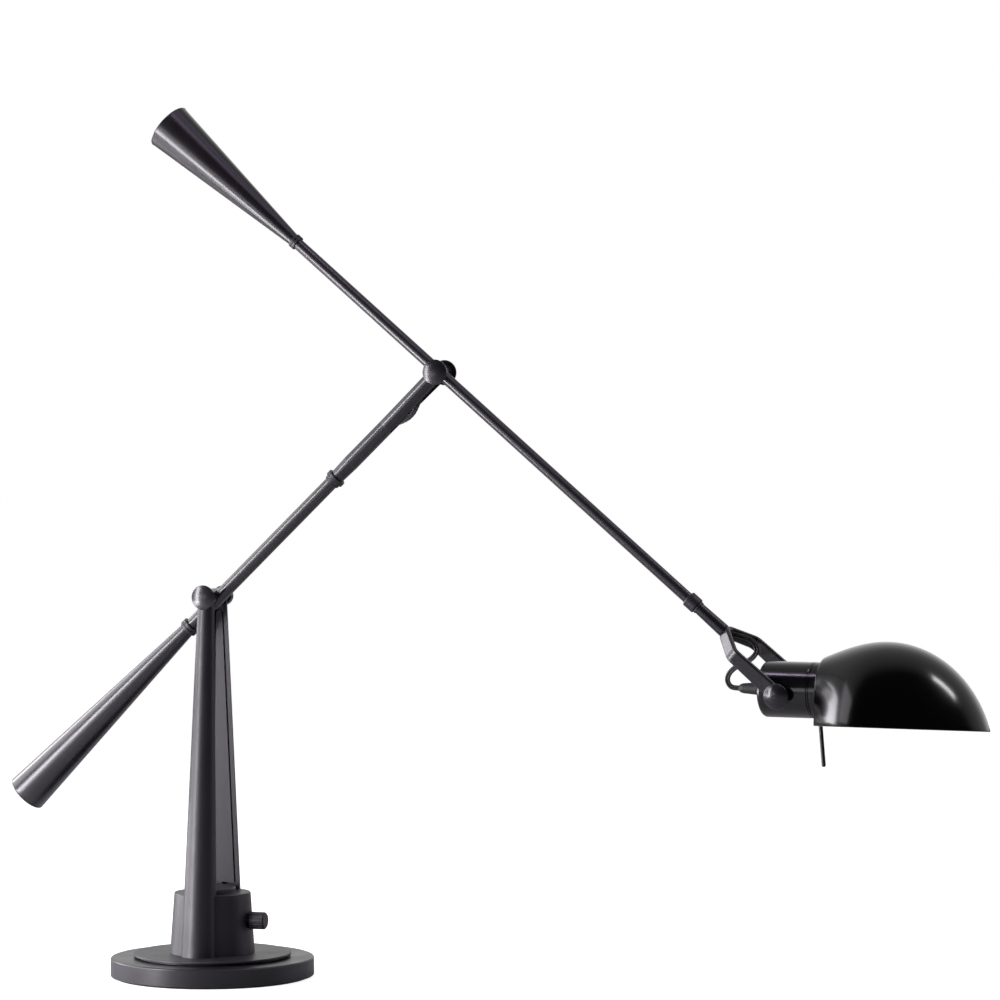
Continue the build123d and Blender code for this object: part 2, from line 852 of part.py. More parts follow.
spigot_radius = upper_tube_radius - tube_wall - running
with BuildPart() as yoke_lock_ring:
    with BuildSketch(arm_section(elbow_point, upper_way, swivel_end + 0.1)):
        Circle(lock_ring_radius)
        Circle(spigot_radius + fit, mode=Mode.SUBTRACT)
    extrude(amount=stem_start - swivel_end - 0.15)
save(yoke_lock_ring, "yoke_lock_ring")

with BuildPart() as yoke:
    with BuildSketch(yoke_across):
        with BuildLine():
            FilletPolyline(
                (-tine_offset, 10),
                (-tine_offset, -knee_back),
                (0, -split_back),
                (tine_offset, -knee_back),
                (tine_offset, 10),
                radius=9,
            )
        trace(line_width=tine_thickness)
    extrude(amount=12, both=True)
    with BuildSketch(yoke_flat):
        with BuildLine():
            Polyline(
                (-tine_end_half, 0),
                (-tine_knee_half, -knee_back),
                (-stem_end_radius, -split_back - 6),
                (stem_end_radius, -split_back - 6),
                (tine_knee_half, -knee_back),
                (tine_end_half, 0),
            )
            ThreePointArc((tine_end_half, 0), (0, tine_end_half), (-tine_end_half, 0))
        make_face()
    extrude(amount=60, both=True, mode=Mode.INTERSECT)
    yoke_edges = yoke.edges().filter_by(lambda edge: edge.length > 15)
    fillet(yoke_edges, radius=2.2)
    with BuildSketch(upper_side):
        with BuildLine():
            Polyline(
                (0, stem_start - 26),
                (spigot_radius, stem_start - 26),
                (spigot_radius, stem_start),
                (stem_start_radius, stem_start),
                (stem_end_radius, head_reach - split_back),
                (stem_end_radius * 0.8, head_reach - split_back + 3),
                (0, head_reach - split_back + 3),
                close=True,
            )
        make_face()
    revolve(axis=upper_axis)
    with BuildSketch(arm_section(elbow_point, upper_way, stem_start - 27)):
        Circle(stem_bore)
    extrude(amount=70, mode=Mode.SUBTRACT)
    with BuildSketch(arm_section(elbow_point, upper_way, head_reach - split_back - 4)):
        Circle(stem_bore)
    extrude(amount=13, taper=-14, mode=Mode.SUBTRACT)
    with BuildSketch(tilt_plane(1, -60)):
        Circle(head_pin_radius + fit)
    extrude(amount=120, mode=Mode.SUBTRACT)
save(yoke, "yoke")

# Head -------------------------------------------------------------------------------------
housing_radius = 26.8
housing_wall = 2.4
housing_back = -23.7
housing_front = 27.0
ring_front = 37.7
ring_bore = 19.0
pad_half = 7.6
pad_face = 26.95
head_cap_start = 33.0
head_cap_radius = 12.6
head_cap_height = 6.4
strain_back = -50.0
housing_round = 4.0
round_low = housing_round * (1 - math.cos(math.pi / 4))

with BuildPart() as socket_housing:
    with BuildSketch(head_side):
        with BuildLine():
            Line((housing_back, 0), (housing_back, housing_radius - housing_round))
            ThreePointArc(
                (housing_back, housing_radius - housing_round),
                (housing_back + round_low, housing_radius - round_low),
                (housing_back + housing_round, housing_radius),
            )
            Polyline(
                (housing_back + housing_round, housing_radius),
                (housing_front - 0.4, housing_radius),
                (housing_front, housing_radius - 0.4),
                (housing_front, housing_radius - housing_wall),
                (housing_back + 3.2, housing_radius - housing_wall),
                (housing_back + 3.2, 0),
                (housing_back, 0),
            )
        make_face()
    revolve(axis=head_axis)
    for side in (-1, 1):
        with BuildSketch(tilt_plane(side, 21.8)):
            Circle(pad_half)
        extrude(amount=pad_face - 21.8)
    with BuildSketch(tilt_plane(1, -40)):
        Circle(head_pin_radius + running)
    extrude(amount=80, mode=Mode.SUBTRACT)
    with BuildSketch(head_section(housing_back - 1)):
        Circle(4.6)
    extrude(amount=6, mode=Mode.SUBTRACT)
save(socket_housing, "socket_housing")

with BuildPart() as head_pins:
    for side in (-1, 1):
        with BuildSketch(tilt_plane(side, 21.5)):
            Circle(head_pin_radius)
        extrude(amount=36.0 - 21.5)
save(head_pins, "head_pins")

with BuildPart() as head_washers:
    for side in (-1, 1):
        with BuildSketch(tilt_plane(side, pad_face + 0.05)):
            Circle(7.0)
            Circle(head_pin_radius + running, mode=Mode.SUBTRACT)
        extrude(amount=0.5)
save(head_washers, "head_washers")

for side, name in ((-1, "head_cap_front"), (1, "head_cap_rear")):
    cap_seat = tilt_plane(side, head_cap_start)
    head_cap = domed_cap(
        cap_seat, head_cap_radius, head_cap_height, 4.6, head_pin_radius + fit, 3.1, 1.0
    )
    save(head_cap, name)

lead_radius = 2.15
with BuildPart() as strain_relief:
    with BuildSketch(head_side):
        with BuildLine():
            Polyline(
                (housing_back + 6, lead_radius + fit),
                (housing_back + 6, 4.5),
                (housing_back - 0.1, 4.5),
                (housing_back - 0.1, 6.3),
                (housing_back - 8, 6.1),
                (strain_back + 4, 4.9),
                (strain_back + 1.2, 4.1),
                (strain_back, 3.1),
                (strain_back, lead_radius + fit),
                close=True,
            )
        make_face()
    revolve(axis=head_axis)
save(strain_relief, "strain_relief")

with BuildPart() as lamp_socket:
    with BuildSketch(head_side):
        with BuildLine():
            Polyline(
                (-15, 0), (-15, 16), (-12, 18.4), (26, 18.4), (26, 14.2), (0, 14.2), (0, 0), close=True
            )
        make_face()
    revolve(axis=head_axis)
save(lamp_socket, "lamp_socket")

with BuildPart() as bulb_base:
    with BuildSketch(head_side):
        with BuildLine():
            Polyline((2, 0), (2, 4.5), (6, 9), (6, 13.2), (29.9, 13.2), (29.9, 12.2), (8, 12.2), (8, 0))
            Line((8, 0), (2, 0))
        make_face()
    revolve(axis=head_axis)
save(bulb_base, "bulb_base")

bulb_radius = 22.5
bulb_centre = 76.0
neck_radius = 12.0
tangent = math.radians(140)
tangent_x = bulb_centre + bulb_radius * math.cos(tangent)
tangent_r = bulb_radius * math.sin(tangent)
shoulder_x = bulb_centre + bulb_radius * math.cos(math.radians(60))
shoulder_r = bulb_radius * math.sin(math.radians(60))
with BuildPart() as bulb:
    with BuildSketch(head_side):
        with BuildLine():
            Polyline((14, 0), (14, neck_radius), (34, neck_radius))
            Spline(
                (34, neck_radius),
                (tangent_x, tangent_r),
                tangents=((1, 0), (tangent_r, bulb_centre - tangent_x)),
            )
            ThreePointArc(
                (tangent_x, tangent_r), (shoulder_x, shoulder_r), (bulb_centre + bulb_radius, 0)
            )
            Line((bulb_centre + bulb_radius, 0), (14, 0))
        make_face()
    revolve(axis=head_axis)
save(bulb, "bulb")

# The shade turns on the housing's mouth by its ring, and a lever rod hangs from the ring.
lever_radius = 2.0
lever_along = 32.0
lever_top = -21.0
lever_length = 51.7
lever_lean = math.radians(6.5)
lever_point = head_point + head_way * lever_along + shade_up * lever_top
lever_way = head_way * math.sin(lever_lean) - shade_up * math.cos(lever_lean)
screw_circle = 23.0
screw_end = 31.3
shade_screw_radius = 1.5
with BuildPart() as shade_ring:
    with BuildSketch(head_side):
        with BuildLine():
            Polyline(
                (20, ring_bore),
                (20, housing_radius - housing_wall - running),
                (housing_front + seat, housing_radius - housing_wall - running),
                (housing_front + seat, housing_radius - 0.4),
                (housing_front + seat + 0.4, housing_radius),
                (housing_front + 1.6, housing_radius),
                (housing_front + 2.0, housing_radius - 0.6),
                (housing_front + 2.4, housing_radius),
                (ring_front, housing_radius),
                (ring_front, ring_bore),
                close=True,
            )
        make_face()
    revolve(axis=head_axis)
    with BuildSketch(Plane(origin=lever_point - lever_way * 0.2, z_dir=lever_way)):
        Circle(lever_radius + fit)
    extrude(amount=lever_length, mode=Mode.SUBTRACT)
    with BuildSketch(shade_plane(screw_end)):
        with PolarLocations(screw_circle, 3, start_angle=90):
            Circle(shade_screw_radius + fit)
    extrude(amount=10, mode=Mode.SUBTRACT)
save(shade_ring, "shade_ring")

with BuildPart() as shade_lever:
    with BuildSketch(Plane(origin=lever_point, z_dir=lever_way)):
        Circle(lever_radius)
    extrude(amount=lever_length)
    fillet(shade_lever.edges().sort_by(Axis(lever_point, lever_way))[-1], radius=1.6)
save(shade_lever, "shade_lever")

# The shade in its own frame: X forward, Y across, Z up, from the head's pivot.
shade_back = 37.8
shade_crest = 99.5
shade_tip = 199.0
shade_half = 75.0
shade_apex = 47.8
shade_rim = -34.0
shade_arch = 32.0
shade_wall = 1.5
shade_step = 0.25
shade_stations = 6
arch_steps = 8
rim_angle = math.radians(17.25)


def dome_height(grow):
    """Height of the crest above the rim."""
    return shade_apex + grow - shade_rim


def ellipse_height(grow):
    """Upright half axis of the crest ellipse, whose centre is a little below the rim."""
    return dome_height(grow) / (1 - math.sin(rim_angle))


def crest_half_width(level, grow):
    """Half width of the crest section at a height above the rim."""
    part = level / ellipse_height(grow) + math.sin(rim_angle)
    return (shade_half + grow) * math.sqrt(max(0.0, 1 - part * part)) / math.cos(rim_angle)


def shade_section(fraction, grow):
    """A section across the shade, from the rear arch (0) to the crest (1)."""
    share = math.sin(fraction * math.pi / 2)
    start = shade_back - grow
    along = start + (shade_crest - start) * fraction
    arch = shade_arch + grow
    points = []
    for step in range(arch_steps + 1):
        angle = math.radians(90.0 * step / arch_steps)
        arch_level = arch * math.sin(angle) - shade_rim if step else 0.0
        crest_level = dome_height(grow) * math.sin(angle)
        crest_half = crest_half_width(crest_level, grow)
        height = arch_level + (crest_level - arch_level) * share
        half = arch * math.cos(angle) + (crest_half - arch * math.cos(angle)) * share
        points.append((half, height + shade_rim))
    points[-1] = (0.0, points[-1][1])
    mirrored = [(-half, height) for half, height in reversed(points[:-1])]
    with BuildSketch(Plane(origin=(along, 0, 0), x_dir=(0, 1, 0), z_dir=(1, 0, 0))) as section:
        with BuildLine():
            Spline(*points, *mirrored)
            Line(mirrored[-1], points[0])
        make_face()
    return section.sketch


def dome(grow):
    """The solid inside the shade's outer surface, or its inner one when grow is minus the wall."""
    reach = shade_tip + grow - shade_crest
    tall = ellipse_height(grow)
    with BuildPart() as solid:
        with BuildSketch(Plane(origin=(shade_crest, 0, shade_rim), x_dir=(1, 0, 0), z_dir=(0, -1, 0))):
            with BuildLine():
                EllipticalCenterArc(
                    (0, -tall * math.sin(rim_angle)),
                    reach / math.cos(rim_angle),
                    tall,
                    start_angle=math.degrees(rim_angle),
                    arc_size=90 - math.degrees(rim_angle),
                )
                Polyline((0, dome_height(grow)), (0, 0), (reach, 0))
            make_face()
        revolve(axis=Axis((shade_crest, 0, 0), (0, 0, 1)))
        split(bisect_by=Plane(origin=(shade_crest, 0, 0), z_dir=(1, 0, 0)))
        scale(by=(1, (shade_half + grow) / reach, 1))
        rear_sections = []
        for station in range(shade_stations + 1):
            rear_sections.append(shade_section(station / shade_stations, grow - shade_step))
        loft(sections=rear_sections)
    return solid.part


shade_place = Location(shade_frame)
outer_dome = shade_place * dome(0.0)
inner_dome = shade_place * dome(-shade_wall)

with BuildPart() as shade:
    add(outer_dome)
    add(inner_dome, mode=Mode.SUBTRACT)
    with BuildSketch(shade_plane(shade_back - 5)):
        Circle(ring_bore)
        with PolarLocations(screw_circle, 3, start_angle=90):
            Circle(shade_screw_radius + fit)
    extrude(amount=10, mode=Mode.SUBTRACT)
save(shade, "shade")

screw_seat = shade_back + shade_wall + shade_step + 0.05
with BuildPart() as shade_screws:
    with BuildSketch(shade_plane(screw_end)):
        with PolarLocations(screw_circle, 3, start_angle=90):
            Circle(shade_screw_radius)
    extrude(amount=screw_seat - screw_end + 0.05)
    with BuildSketch(shade_plane(screw_seat)):
        with PolarLocations(screw_circle, 3, start_angle=90):
            Circle(2.7)
    extrude(amount=1.6)
save(shade_screws, "shade_screws")

# Leads. Each runs whole from the bore that it leaves to the piece that it enters, as straight
# runs joined by arcs, each arc as large as its two runs allow.
elbow_lead_radius = 2.5
elbow_lead_route = [
    (0.0, 242.0),
    (1.6, 255.0),
    (7.6, 265.5),
    (10.6, 277.0),
    (7.4, 288.0),
    (2.4, 298.0),
    (0.3, 308.5),
    (0.6, 319.2),
]
head_lead_route = [
    (0.0, -87.0),
    (1.4, -78.0),
    (7.6, -68.5),
    (12.8, -57.0),
    (9.0, -46.5),
    (-2.5, -46.0),
    (-14.0, -51.0),
    (-22.5, -54.2),
    (-30.2, -54.5),
    (-35.7, -52.1),
    (-38.2, -47.5),
    (-37.8, -42.8),
    (-34.45, -39.05),
]


def corner_radii(route):
    """The largest tangent arc at each corner of a route: 0.45 of the shorter run."""
    radii = []
    for before, corner, after in zip(route, route[1:], route[2:]):
        first = Vector(*corner) - Vector(*before)
        second = Vector(*after) - Vector(*corner)
        turn = math.radians(first.get_angle(second))
        radii.append(0.45 * min(first.length, second.length) / math.tan(turn / 2))
    return radii


def lead(plane, route, radius):
    """A round lead along a route of points on a plane."""
    radii = corner_radii(route)
    with BuildPart() as tube_part:
        with BuildLine(plane) as path:
            FilletPolyline(*route, radius=radii)
        with BuildSketch(Plane(origin=path.wire() @ 0, z_dir=path.wire() % 0)):
            Circle(radius)
        sweep(path=path.wire())
    length = path.wire().length
    print("lead", round(length, 1), "mm, radii", [round(value, 1) for value in radii])
    print("  volume over section times length", tube_part.part.volume / (math.pi * radius**2 * length))
    return tube_part


save(lead(lower_side, elbow_lead_route, elbow_lead_radius), "elbow_lead")
save(lead(yoke_flat, head_lead_route, lead_radius), "head_lead")
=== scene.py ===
import json
import math

import bmesh
import bpy
from mathutils import Matrix, Vector


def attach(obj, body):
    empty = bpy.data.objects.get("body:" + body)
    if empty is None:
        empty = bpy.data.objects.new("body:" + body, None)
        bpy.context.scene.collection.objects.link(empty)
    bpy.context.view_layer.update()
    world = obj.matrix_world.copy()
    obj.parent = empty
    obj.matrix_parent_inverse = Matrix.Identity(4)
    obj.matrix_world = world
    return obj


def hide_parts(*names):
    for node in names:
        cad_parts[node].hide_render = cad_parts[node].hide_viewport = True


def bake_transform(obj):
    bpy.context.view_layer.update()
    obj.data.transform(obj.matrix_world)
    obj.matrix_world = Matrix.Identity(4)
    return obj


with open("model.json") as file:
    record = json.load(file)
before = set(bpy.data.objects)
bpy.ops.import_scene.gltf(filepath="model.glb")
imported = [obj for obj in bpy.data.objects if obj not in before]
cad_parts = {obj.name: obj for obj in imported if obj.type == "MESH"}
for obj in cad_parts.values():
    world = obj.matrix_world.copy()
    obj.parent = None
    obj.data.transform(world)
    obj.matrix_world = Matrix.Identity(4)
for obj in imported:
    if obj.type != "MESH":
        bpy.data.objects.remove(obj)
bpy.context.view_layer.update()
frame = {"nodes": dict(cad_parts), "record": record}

# Driving sizes. Lengths are in metres and angles in radians.
MM = 0.001
LOWER_RISE = math.radians(43.87)
UPPER_DROP = math.radians(40.89)
YOKE_ROLL = math.radians(11.0)
SHADE_TURN = math.radians(12.8)
ELBOW = Vector((239.8, 0, 602.8)) * MM
LOWER_LENGTH = 327.4 * MM
HEAD_REACH = 465.3 * MM

LOWER_WAY = Vector((math.cos(LOWER_RISE), 0, math.sin(LOWER_RISE)))
UPPER_WAY = Vector((math.cos(UPPER_DROP), 0, -math.sin(UPPER_DROP)))
UPPER_NORMAL = Vector((math.sin(UPPER_DROP), 0, math.cos(UPPER_DROP)))
TILT_WAY = Vector((0, 1, 0)) * math.cos(YOKE_ROLL) + UPPER_NORMAL * math.sin(YOKE_ROLL)
YOKE_NORMAL = Vector((0, -1, 0)) * math.sin(YOKE_ROLL) + UPPER_NORMAL * math.cos(YOKE_ROLL)
HEAD_WAY = Vector((TILT_WAY.y, -TILT_WAY.x, 0)).normalized()
HEAD_UP = HEAD_WAY.cross(TILT_WAY)
SHADE_ACROSS = TILT_WAY * math.cos(SHADE_TURN) - HEAD_UP * math.sin(SHADE_TURN)
SHADE_UP = HEAD_UP * math.cos(SHADE_TURN) + TILT_WAY * math.sin(SHADE_TURN)
HEAD = ELBOW + UPPER_WAY * HEAD_REACH
LOWER_FOOT = ELBOW - LOWER_WAY * LOWER_LENGTH
LOWER_RADIAL = Vector((LOWER_WAY.z, 0, -LOWER_WAY.x))


# Materials --------------------------------------------------------------------------------
WORN_EDGE = (0.05, 0.045, 0.05)
# How sharp an edge is, as the Pointiness node gives it, where wear starts and where it is full.
WEAR_STARTS = 0.53
WEAR_FULL = 0.62
COAT_ROUGHNESS = 0.12


class Shader:
    """A material with a Principled shader, and short calls for the nodes around it."""

    def __init__(self, name):
        self.material = bpy.data.materials.new(name)
        self.material.use_nodes = True
        self.tree = self.material.node_tree
        self.surface = self.tree.nodes["Principled BSDF"]
        self.place = self.tree.nodes.new("ShaderNodeTexCoord").outputs["Object"]

    def add(self, kind, **inputs):
        """A node, with each named input linked or given a value."""
        node = self.tree.nodes.new(kind)
        for key, value in inputs.items():
            socket = node.inputs[key.replace("_", " ")]
            if isinstance(value, bpy.types.NodeSocket):
                self.tree.links.new(value, socket)
            else:
                socket.default_value = value
        return node

    def set(self, **inputs):
        """Links or sets the surface's own inputs."""
        for key, value in inputs.items():
            socket = self.surface.inputs[key.replace("_", " ")]
            if isinstance(value, bpy.types.NodeSocket):
                self.tree.links.new(value, socket)
            else:
                socket.default_value = value

    def noise(self, scale, detail=3.0):
        """Noise over the object's own coordinates, which are in metres."""
        node = self.add("ShaderNodeTexNoise", Vector=self.place, Scale=scale, Detail=detail)
        return node.outputs["Fac"]

    def spread(self, value, low, high, start=0.3, end=0.7):
        """Maps a noise value to a range."""
        node = self.add("ShaderNodeMapRange", Value=value)
        node.inputs["From Min"].default_value = start
        node.inputs["From Max"].default_value = end
        node.inputs["To Min"].default_value = low
        node.inputs["To Max"].default_value = high
        return node.outputs["Result"]

    def colours(self, value, *stops):
        """A colour ramp over a value: each stop is a place and a colour."""
        node = self.tree.nodes.new("ShaderNodeValToRGB")
        self.tree.links.new(value, node.inputs["Fac"])
        ramp = node.color_ramp.elements
        while len(ramp) < len(stops):
            ramp.new(0.5)
        for element, (place, colour) in zip(ramp, stops):
            element.position = place
            element.color = (*colour, 1)
        return node.outputs["Color"]

    def bump(self, height, strength, distance=0.0002):
        """A surface relief."""
        node = self.add("ShaderNodeBump", Height=height, Strength=strength, Distance=distance)
        return node.outputs["Normal"]


def lacquer(name, tone, rough_low, rough_high, coat, peel, wear):
    """Sprayed lacquer: slow colour and gloss changes, orange peel, and paler worn edges."""
    look = Shader(name)
    slow = look.noise(14.0)
    darker = tuple(0.7 * value for value in tone)
    body = look.colours(slow, (0.3, darker), (0.7, tone))
    edge = look.add("ShaderNodeNewGeometry").outputs["Pointiness"]
    worn = look.spread(edge, 0.0, wear, WEAR_STARTS, WEAR_FULL)
    mixed = look.tree.nodes.new("ShaderNodeMix")
    mixed.data_type = "RGBA"
    look.tree.links.new(worn, mixed.inputs["Factor"])
    look.tree.links.new(body, mixed.inputs["A"])
    mixed.inputs["B"].default_value = (*WORN_EDGE, 1)
    smudge = look.noise(38.0, 5.0)
    look.set(
        Base_Color=mixed.outputs["Result"],
        Roughness=look.spread(smudge, rough_low, rough_high),
        Normal=look.bump(look.noise(900.0, 2.0), peel),
        Coat_Weight=coat,
        Coat_Roughness=COAT_ROUGHNESS,
    )
    return look.material


def plated(name, tone, rough):
    """Bare or plated metal with fine turning marks."""
    look = Shader(name)
    scratches = look.noise(450.0, 4.0)
    look.set(
        Base_Color=look.colours(scratches, (0.3, tuple(0.75 * v for v in tone)), (0.7, tone)),
        Metallic=1.0,
        Roughness=look.spread(scratches, rough * 0.8, rough * 1.3),
        Normal=look.bump(scratches, 0.25),
    )
    return look.material


def moulded(name, tone, rough):
    """Moulded plastic or rubber with a fine grain."""
    look = Shader(name)
    grain = look.noise(1400.0, 2.0)
    look.set(
        Base_Color=look.colours(look.noise(60.0), (0.3, tuple(0.7 * v for v in tone)), (0.7, tone)),
        Roughness=look.spread(grain, rough - 0.06, rough + 0.06),
        Normal=look.bump(grain, 0.3, 0.0001),
    )
    return look.material


def felt(name):
    """Dark pressed felt."""
    look = Shader(name)
    fibre = look.noise(2200.0, 6.0)
    look.set(
        Base_Color=look.colours(fibre, (0.3, (0.008, 0.008, 0.009)), (0.7, (0.04, 0.04, 0.042))),
        Roughness=0.95,
        Sheen_Weight=0.4,
        Normal=look.bump(fibre, 0.8),
    )
    return look.material


def braid(name):
    """Woven sleeve: dull thread with small changes of tone along each strand."""
    look = Shader(name)
    thread = look.noise(2600.0, 3.0)
    look.set(
        Base_Color=look.colours(thread, (0.3, (0.012, 0.011, 0.012)), (0.7, (0.07, 0.062, 0.062))),
        Roughness=look.spread(thread, 0.45, 0.75),
        Sheen_Weight=0.3,
        Normal=look.bump(thread, 0.5, 0.0001),
    )
    return look.material


def frosted(name):
    """Frosted white glass."""
    look = Shader(name)
    cloud = look.noise(30.0)
    look.set(
        Base_Color=look.colours(cloud, (0.3, (0.86, 0.85, 0.81)), (0.7, (0.93, 0.92, 0.89))),
        Roughness=look.spread(cloud, 0.3, 0.42),
        Transmission_Weight=0.35,
        Subsurface_Weight=0.2,
        Subsurface_Scale=0.004,
    )
    return look.material


BLACK = (0.0115, 0.0095, 0.0130)
finishes = {
    "black_lacquer": lacquer("black_lacquer", BLACK, 0.26, 0.30, 0.20, 0.003, 0.25),
    "satin_lacquer": lacquer("satin_lacquer", (0.0105, 0.0090, 0.0125), 0.42, 0.48, 0.03, 0.004, 0.25),
    "cast_base": lacquer("cast_base", (0.0050, 0.0044, 0.0075), 0.34, 0.42, 0.05, 0.008, 0.25),
    "aluminium_head": lacquer("aluminium_head", (0.0012, 0.0008, 0.0014), 0.17, 0.22, 0.3, 0.006, 0.10),
    "ballast_iron": plated("ballast_iron", (0.30, 0.29, 0.28), 0.55),
    "steel": plated("steel", (0.55, 0.55, 0.56), 0.30),
    "black_steel": plated("black_steel", (0.06, 0.06, 0.065), 0.38),
    "nylon": moulded("nylon", (0.05, 0.05, 0.05), 0.5),
    "black_plastic": moulded("black_plastic", (0.022, 0.022, 0.024), 0.45),
    "felt": felt("felt"),
    "rubber": moulded("rubber", (0.018, 0.017, 0.018), 0.55),
    "braid": braid("braid"),
    "brass": plated("brass", (0.72, 0.52, 0.25), 0.28),
    "bulb_glass": frosted("bulb_glass"),
}

slot_of = {entry["node"]: entry["material_slot"] for entry in frame["record"]["subparts"]}
for node, piece in frame["nodes"].items():
    for material_slot in piece.material_slots:
        material_slot.material = finishes[slot_of[node]]


# Pieces -----------------------------------------------------------------------------------
def mesh_piece(name, points, faces, material):
    """A new smooth-shaded object from points and faces."""
    mesh = bpy.data.meshes.new(name)
    mesh.from_pydata([tuple(point) for point in points], [], faces)
    mesh.materials.append(finishes[material])
    mesh.polygons.foreach_set("use_smooth", [True] * len(mesh.polygons))
    mesh.update()
    piece = bpy.data.objects.new(name, mesh)
    bpy.context.scene.collection.objects.link(piece)
    return piece


def apply_modifiers(piece):
    """Bakes a piece's modifiers into its mesh."""
    bpy.context.view_layer.update()
    graph = bpy.context.evaluated_depsgraph_get()
    mesh = bpy.data.meshes.new_from_object(piece.evaluated_get(graph))
    piece.modifiers.clear()
    piece.data = mesh


# The shade, in its own frame: X forward, Y across, Z up, from the head's pivot.
SHADE_BACK = 37.8 * MM
SHADE_CREST = 99.5 * MM
SHADE_TIP = 199.0 * MM
SHADE_HALF = 75.0 * MM
SHADE_APEX = 47.8 * MM
SHADE_RIM = -34.0 * MM
SHADE_ARCH = 32.0 * MM
SHADE_WALL = 1.5 * MM
RING_BORE = 19.0 * MM
RIM_ANGLE = math.radians(17.25)
CREST_TALL = (SHADE_APEX - SHADE_RIM) / (1 - math.sin(RIM_ANGLE))
SOFT_EDGE = 0.7 * MM
SOFT_EDGE_STEPS = 3
SOFT_EDGE_ANGLE = math.radians(40)
MERGE_GAP = 0.02 * MM
RISE_STEPS = 26
REAR_STEPS = 20
FRONT_STEPS = 44
SILL_STEPS = 10


def crest_point(share):
    """Half width and height of the crest section, from the rim (0) to the top (1)."""
    angle = RIM_ANGLE + (math.pi / 2 - RIM_ANGLE) * share
    half = SHADE_HALF / math.cos(RIM_ANGLE) * math.cos(angle)
    return half, SHADE_RIM + CREST_TALL * (math.sin(angle) - math.sin(RIM_ANGLE))


def arch_point(share):
    """Half width and height of the rear arch: a straight side, then a quarter circle."""
    side = -SHADE_RIM / (-SHADE_RIM + SHADE_ARCH * math.pi / 2)
    if share < side:
        return SHADE_ARCH, SHADE_RIM * (1 - share / side)
    angle = (share - side) / (1 - side) * math.pi / 2
    return SHADE_ARCH * math.cos(angle), SHADE_ARCH * math.sin(angle)


def rear_point(step, share, side):
    """A point of the rear flank, which widens from the arch to the crest."""
    part = step / REAR_STEPS
    blend = math.sin(part * math.pi / 2)
    arch_half, arch_height = arch_point(share)
    crest_half, crest_height = crest_point(share)
    along = SHADE_BACK + (SHADE_CREST - SHADE_BACK) * part
    half = arch_half + (crest_half - arch_half) * blend
    height = arch_height + (crest_height - arch_height) * blend
    return Vector((along, side * half, height))


def front_point(turn, share):
    """A point of the front: the crest section swept round and stretched forward."""
    half, height = crest_point(share)
    reach = (SHADE_TIP - SHADE_CREST) / SHADE_HALF
    return Vector((SHADE_CREST + half * reach * math.cos(turn), half * math.sin(turn), height))


def shade_mesh():
    """The dome's outer skin as rows from one side's rear arch round the front to the other's."""
    points, faces = [], []
    rows = []
    for step in range(REAR_STEPS):
        rows.append([rear_point(step, i / RISE_STEPS, -1) for i in range(RISE_STEPS + 1)])
    for step in range(FRONT_STEPS + 1):
        turn = -math.pi / 2 + math.pi * step / FRONT_STEPS
        rows.append([front_point(turn, i / RISE_STEPS) for i in range(RISE_STEPS + 1)])
    for step in reversed(range(REAR_STEPS)):
        rows.append([rear_point(step, i / RISE_STEPS, 1) for i in range(RISE_STEPS + 1)])
    width = RISE_STEPS + 1
    for row in rows:
        points.extend(row)
    for r in range(len(rows) - 1):
        for i in range(RISE_STEPS):
            a = r * width + i
            faces.append((a, a + width, a + width + 1, a + 1))
    # The flat rear wall, between the arch and the hole for the lamp.
    outline = list(range(width)) + [(len(rows) - 1) * width + i for i in reversed(range(RISE_STEPS))]
    for i in range(1, SILL_STEPS):
        share = i / SILL_STEPS
        outline.append(len(points))
        points.append(Vector((SHADE_BACK, SHADE_ARCH * (1 - 2 * share), SHADE_RIM)))
    hole = []
    for index in outline:
        across, height = points[index].y, points[index].z
        length = math.hypot(across, height)
        hole.append(len(points))
        points.append(Vector((SHADE_BACK, across / length * RING_BORE, height / length * RING_BORE)))
    count = len(outline)
    for i in range(count):
        j = (i + 1) % count
        faces.append((outline[i], outline[j], hole[j], hole[i]))
    return points, faces


shade_matrix = Matrix((HEAD_WAY, SHADE_ACROSS, SHADE_UP)).transposed().to_4x4()
shade_matrix.translation = HEAD


def make_shade():
    """The spun metal shade, with a wall of its real thickness and softly rounded edges."""
    points, faces = shade_mesh()
    shade = mesh_piece("shade_dome", points, faces, "aluminium_head")
    edit = bmesh.new()
    edit.from_mesh(shade.data)
    bmesh.ops.remove_doubles(edit, verts=edit.verts, dist=MERGE_GAP)
    bmesh.ops.dissolve_degenerate(edit, edges=edit.edges, dist=MERGE_GAP / 2)
    bmesh.ops.recalc_face_normals(edit, faces=edit.faces)
    if sum(face.normal.z for face in edit.faces) < 0:
        bmesh.ops.reverse_faces(edit, faces=edit.faces)
    edit.to_mesh(shade.data)
    edit.free()
    shade.data.transform(shade_matrix)
    wall = shade.modifiers.new("wall", "SOLIDIFY")
    wall.thickness = SHADE_WALL
    wall.offset = -1
    wall.use_even_offset = True
    soft_edge = shade.modifiers.new("soft_edge", "BEVEL")
    soft_edge.width = SOFT_EDGE
    soft_edge.segments = SOFT_EDGE_STEPS
    soft_edge.limit_method = "ANGLE"
    soft_edge.angle_limit = SOFT_EDGE_ANGLE
    apply_modifiers(shade)
    shade.data.polygons.foreach_set("use_smooth", [True] * len(shade.data.polygons))
    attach(shade, "shade")
    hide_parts("shade")
    return shade


shade = make_shade()


